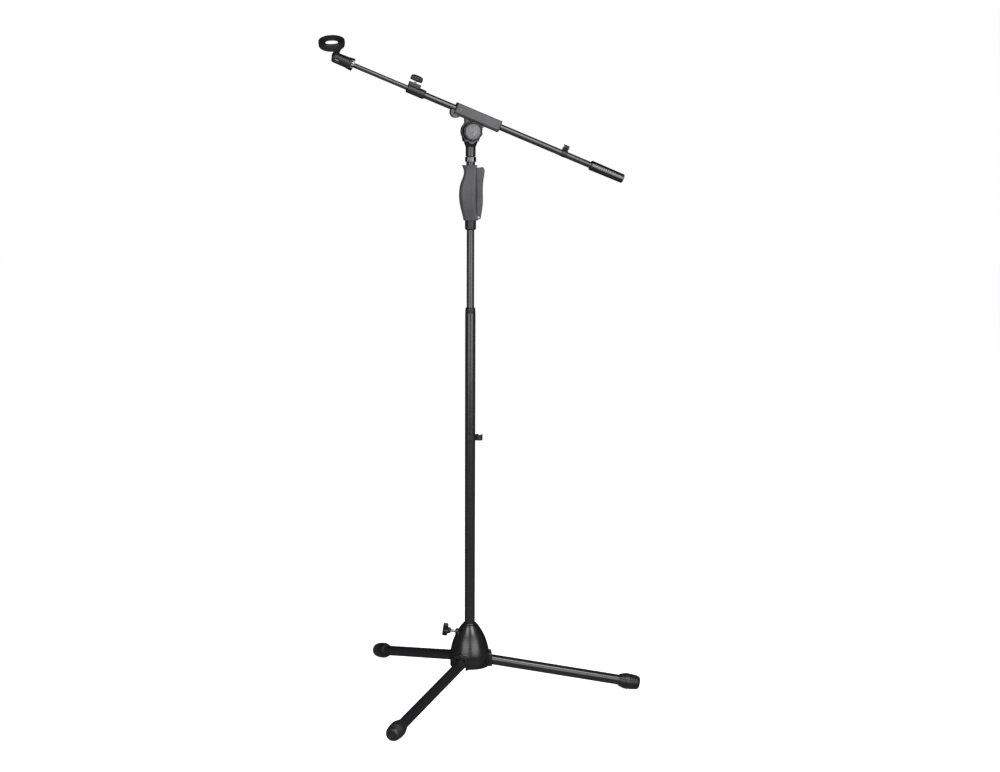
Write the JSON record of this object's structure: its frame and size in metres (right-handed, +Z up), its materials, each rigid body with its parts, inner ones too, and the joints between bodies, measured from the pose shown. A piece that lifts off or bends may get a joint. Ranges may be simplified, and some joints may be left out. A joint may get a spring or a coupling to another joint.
{
  "type": "boom microphone stand",
  "caption": "Tripod boom stand for a microphone: bell-shaped base with folding legs, telescoping column with a squeeze grip, tilting counterweighted boom and ring clip.",
  "frame": {"origin": "on the column's axis at floor level", "axes": "+Z up along the column, +X to the side that the boom's rear end points to, +Y to the back"},
  "size_m": [0.6778, 0.6493, 1.3952],
  "materials": {
    "powder_coated_tube": "satin black powder coat",
    "die_cast": "fine textured black coat",
    "foot_rubber": "matt",
    "zinc_steel": "zinc plated",
    "aluminium": "drawn",
    "chrome": "polished",
    "black_plastic": "fine grained",
    "grey_plastic": "fine grained",
    "grip_plastic": "soft-touch",
    "threaded_steel": "black zinc",
    "brass": "turned"
  },
  "bodies": {
    "base": {"base_housing": "die_cast", "leg_pivot_pins": "zinc_steel"},
    "leg_1": {"leg_knuckle_1": "die_cast", "leg_tube_1": "powder_coated_tube", "foot_1": "foot_rubber"},
    "leg_2": {"leg_knuckle_2": "die_cast", "leg_tube_2": "powder_coated_tube", "foot_2": "foot_rubber"},
    "leg_3": {"leg_knuckle_3": "die_cast", "leg_tube_3": "powder_coated_tube", "foot_3": "foot_rubber"},
    "base_knob": {"base_knob": "black_plastic", "base_knob_screw": "zinc_steel"},
    "column": {"outer_tube": "powder_coated_tube", "outer_tube_plug": "black_plastic", "guide_bush": "black_plastic"},
    "column_clip": {"column_cable_clip": "black_plastic"},
    "mast": {"inner_tube": "powder_coated_tube", "clutch_collet": "black_plastic", "clutch_spring": "zinc_steel", "grip_front": "grip_plastic", "grip_back": "grip_plastic", "grip_screws": "zinc_steel", "grip_collar": "black_plastic", "lever_pin": "zinc_steel", "top_insert": "threaded_steel"},
    "lever": {"grip_lever": "grip_plastic"},
    "clutch_rod": {"clutch_rod": "aluminium", "clutch_cone": "aluminium", "clutch_cross_pin": "zinc_steel"},
    "top_ring": {"top_lock_ring": "chrome"},
    "head": {"head_fork": "die_cast", "tilt_nut": "zinc_steel", "friction_washers": "black_plastic"},
    "tilt_knob": {"tilt_knob": "black_plastic", "tilt_knob_cap": "grey_plastic", "tilt_bolt": "zinc_steel"},
    "clamp": {"clamp_body": "die_cast", "clamp_bush_front": "black_plastic", "clamp_bush_rear": "black_plastic", "pinch_bolt": "threaded_steel", "boom_set_screw": "threaded_steel"},
    "boom": {"boom_tube": "powder_coated_tube", "boom_front_bush": "black_plastic", "boom_lock_collar": "die_cast", "counterweight": "threaded_steel"},
    "boom_clip": {"boom_cable_clip": "black_plastic"},
    "lock_knob": {"boom_lock_knob": "black_plastic", "boom_lock_screw": "zinc_steel"},
    "front_tube": {"front_tube": "powder_coated_tube", "front_tube_glide": "black_plastic", "front_stud": "threaded_steel"},
    "front_ring": {"front_lock_ring": "chrome"},
    "yoke": {"clip_yoke": "black_plastic", "yoke_insert": "brass", "clip_hinge_screw": "zinc_steel", "clip_hinge_nut": "zinc_steel"},
    "mic_clip": {"mic_clip": "black_plastic"}
  },
  "joints": [
    {"name": "leg_1_fold", "type": "hinge", "parent": "base", "child": "leg_1", "pos_m": [0.03083, 0.00324, 0.07661], "axis": [-0.1045, 0.9945, 0], "range_deg": [0, 78]},
    {"name": "leg_2_fold", "type": "hinge", "parent": "base", "child": "leg_2", "pos_m": [-0.01822, 0.02508, 0.07661], "axis": [-0.809, -0.5878, 0], "range_deg": [0, 78]},
    {"name": "leg_3_fold", "type": "hinge", "parent": "base", "child": "leg_3", "pos_m": [-0.01261, -0.02832, 0.07661], "axis": [0.9135, -0.4067, 0], "range_deg": [0, 78]},
    {"name": "base_knob_turn", "type": "hinge", "parent": "base", "child": "base_knob", "pos_m": [-0.04426, -0.00465, 0.13975], "axis": [-0.9836, -0.1034, 0.1478], "range_deg": [-360, 360]},
    {"name": "column_lift", "type": "slide", "parent": "base", "child": "column", "axis": [0, 0, 1], "range_m": [0, 0.025]},
    {"name": "column_clip_slide", "type": "slide", "parent": "column", "child": "column_clip", "axis": [0, 0, 1], "range_m": [-0.35, 0.2]},
    {"name": "height_slide", "type": "slide", "parent": "column", "child": "mast", "axis": [0, 0, 1], "range_m": [-0.16, 0.35]},
    {"name": "lever_squeeze", "type": "hinge", "parent": "mast", "child": "lever", "pos_m": [0.0175, 0, 1.024], "axis": [0, -1, 0], "range_deg": [0, 6.5], "stiffness_Nm_per_rad": 0.61, "springref_deg": -32.66},
    {"name": "clutch_release", "type": "slide", "parent": "mast", "child": "clutch_rod", "axis": [0, 0, -1], "range_m": [0, 0.002], "deforming": ["clutch_spring"]},
    {"name": "top_ring_turn", "type": "hinge", "parent": "mast", "child": "top_ring", "pos_m": [0, 0, 1.143], "axis": [0, 0, 1], "continuous": true},
    {"name": "head_pan", "type": "hinge", "parent": "mast", "child": "head", "pos_m": [0, 0, 1.155], "axis": [0, 0, 1], "range_deg": [-180, 180]},
    {"name": "tilt_knob_turn", "type": "hinge", "parent": "head", "child": "tilt_knob", "pos_m": [0.00405, -0.01754, 1.201], "axis": [0.225, -0.9744, 0], "range_deg": [-360, 360]},
    {"name": "boom_tilt", "type": "hinge", "parent": "head", "child": "clamp", "pos_m": [0, 0, 1.201], "axis": [-0.225, 0.9744, 0], "range_deg": [-95, 60]},
    {"name": "boom_slide", "type": "slide", "parent": "clamp", "child": "boom", "axis": [0.9028, 0.2084, -0.3762], "range_m": [-0.12, 0.058]},
    {"name": "boom_clip_slide", "type": "slide", "parent": "boom", "child": "boom_clip", "axis": [0.9028, 0.2084, -0.3762], "range_m": [-0.02, 0.055]},
    {"name": "lock_knob_turn", "type": "hinge", "parent": "boom", "child": "lock_knob", "pos_m": [-0.11303, -0.02609, 1.30207], "axis": [0.3666, 0.0846, 0.9265], "range_deg": [-360, 360]},
    {"name": "front_extend", "type": "slide", "parent": "boom", "child": "front_tube", "axis": [-0.9028, -0.2084, 0.3762], "range_m": [-0.09, 0.12]},
    {"name": "front_ring_turn", "type": "hinge", "parent": "front_tube", "child": "front_ring", "pos_m": [-0.24168, -0.0558, 1.33625], "axis": [-0.9028, -0.2084, 0.3762], "continuous": true},
    {"name": "clip_swivel", "type": "hinge", "parent": "front_tube", "child": "yoke", "pos_m": [-0.25188, -0.05815, 1.34051], "axis": [-0.9028, -0.2084, 0.3762], "range_deg": [-180, 180]},
    {"name": "clip_tilt", "type": "hinge", "parent": "yoke", "child": "mic_clip", "pos_m": [-0.2712, -0.06261, 1.34856], "axis": [-0.034, 0.9066, 0.4206], "range_deg": [-110, 40]}
  ],
  "couplings": [
    {"joint": "clutch_release", "follows": "lever_squeeze", "m_per_rad": 0.0175}
  ]
}
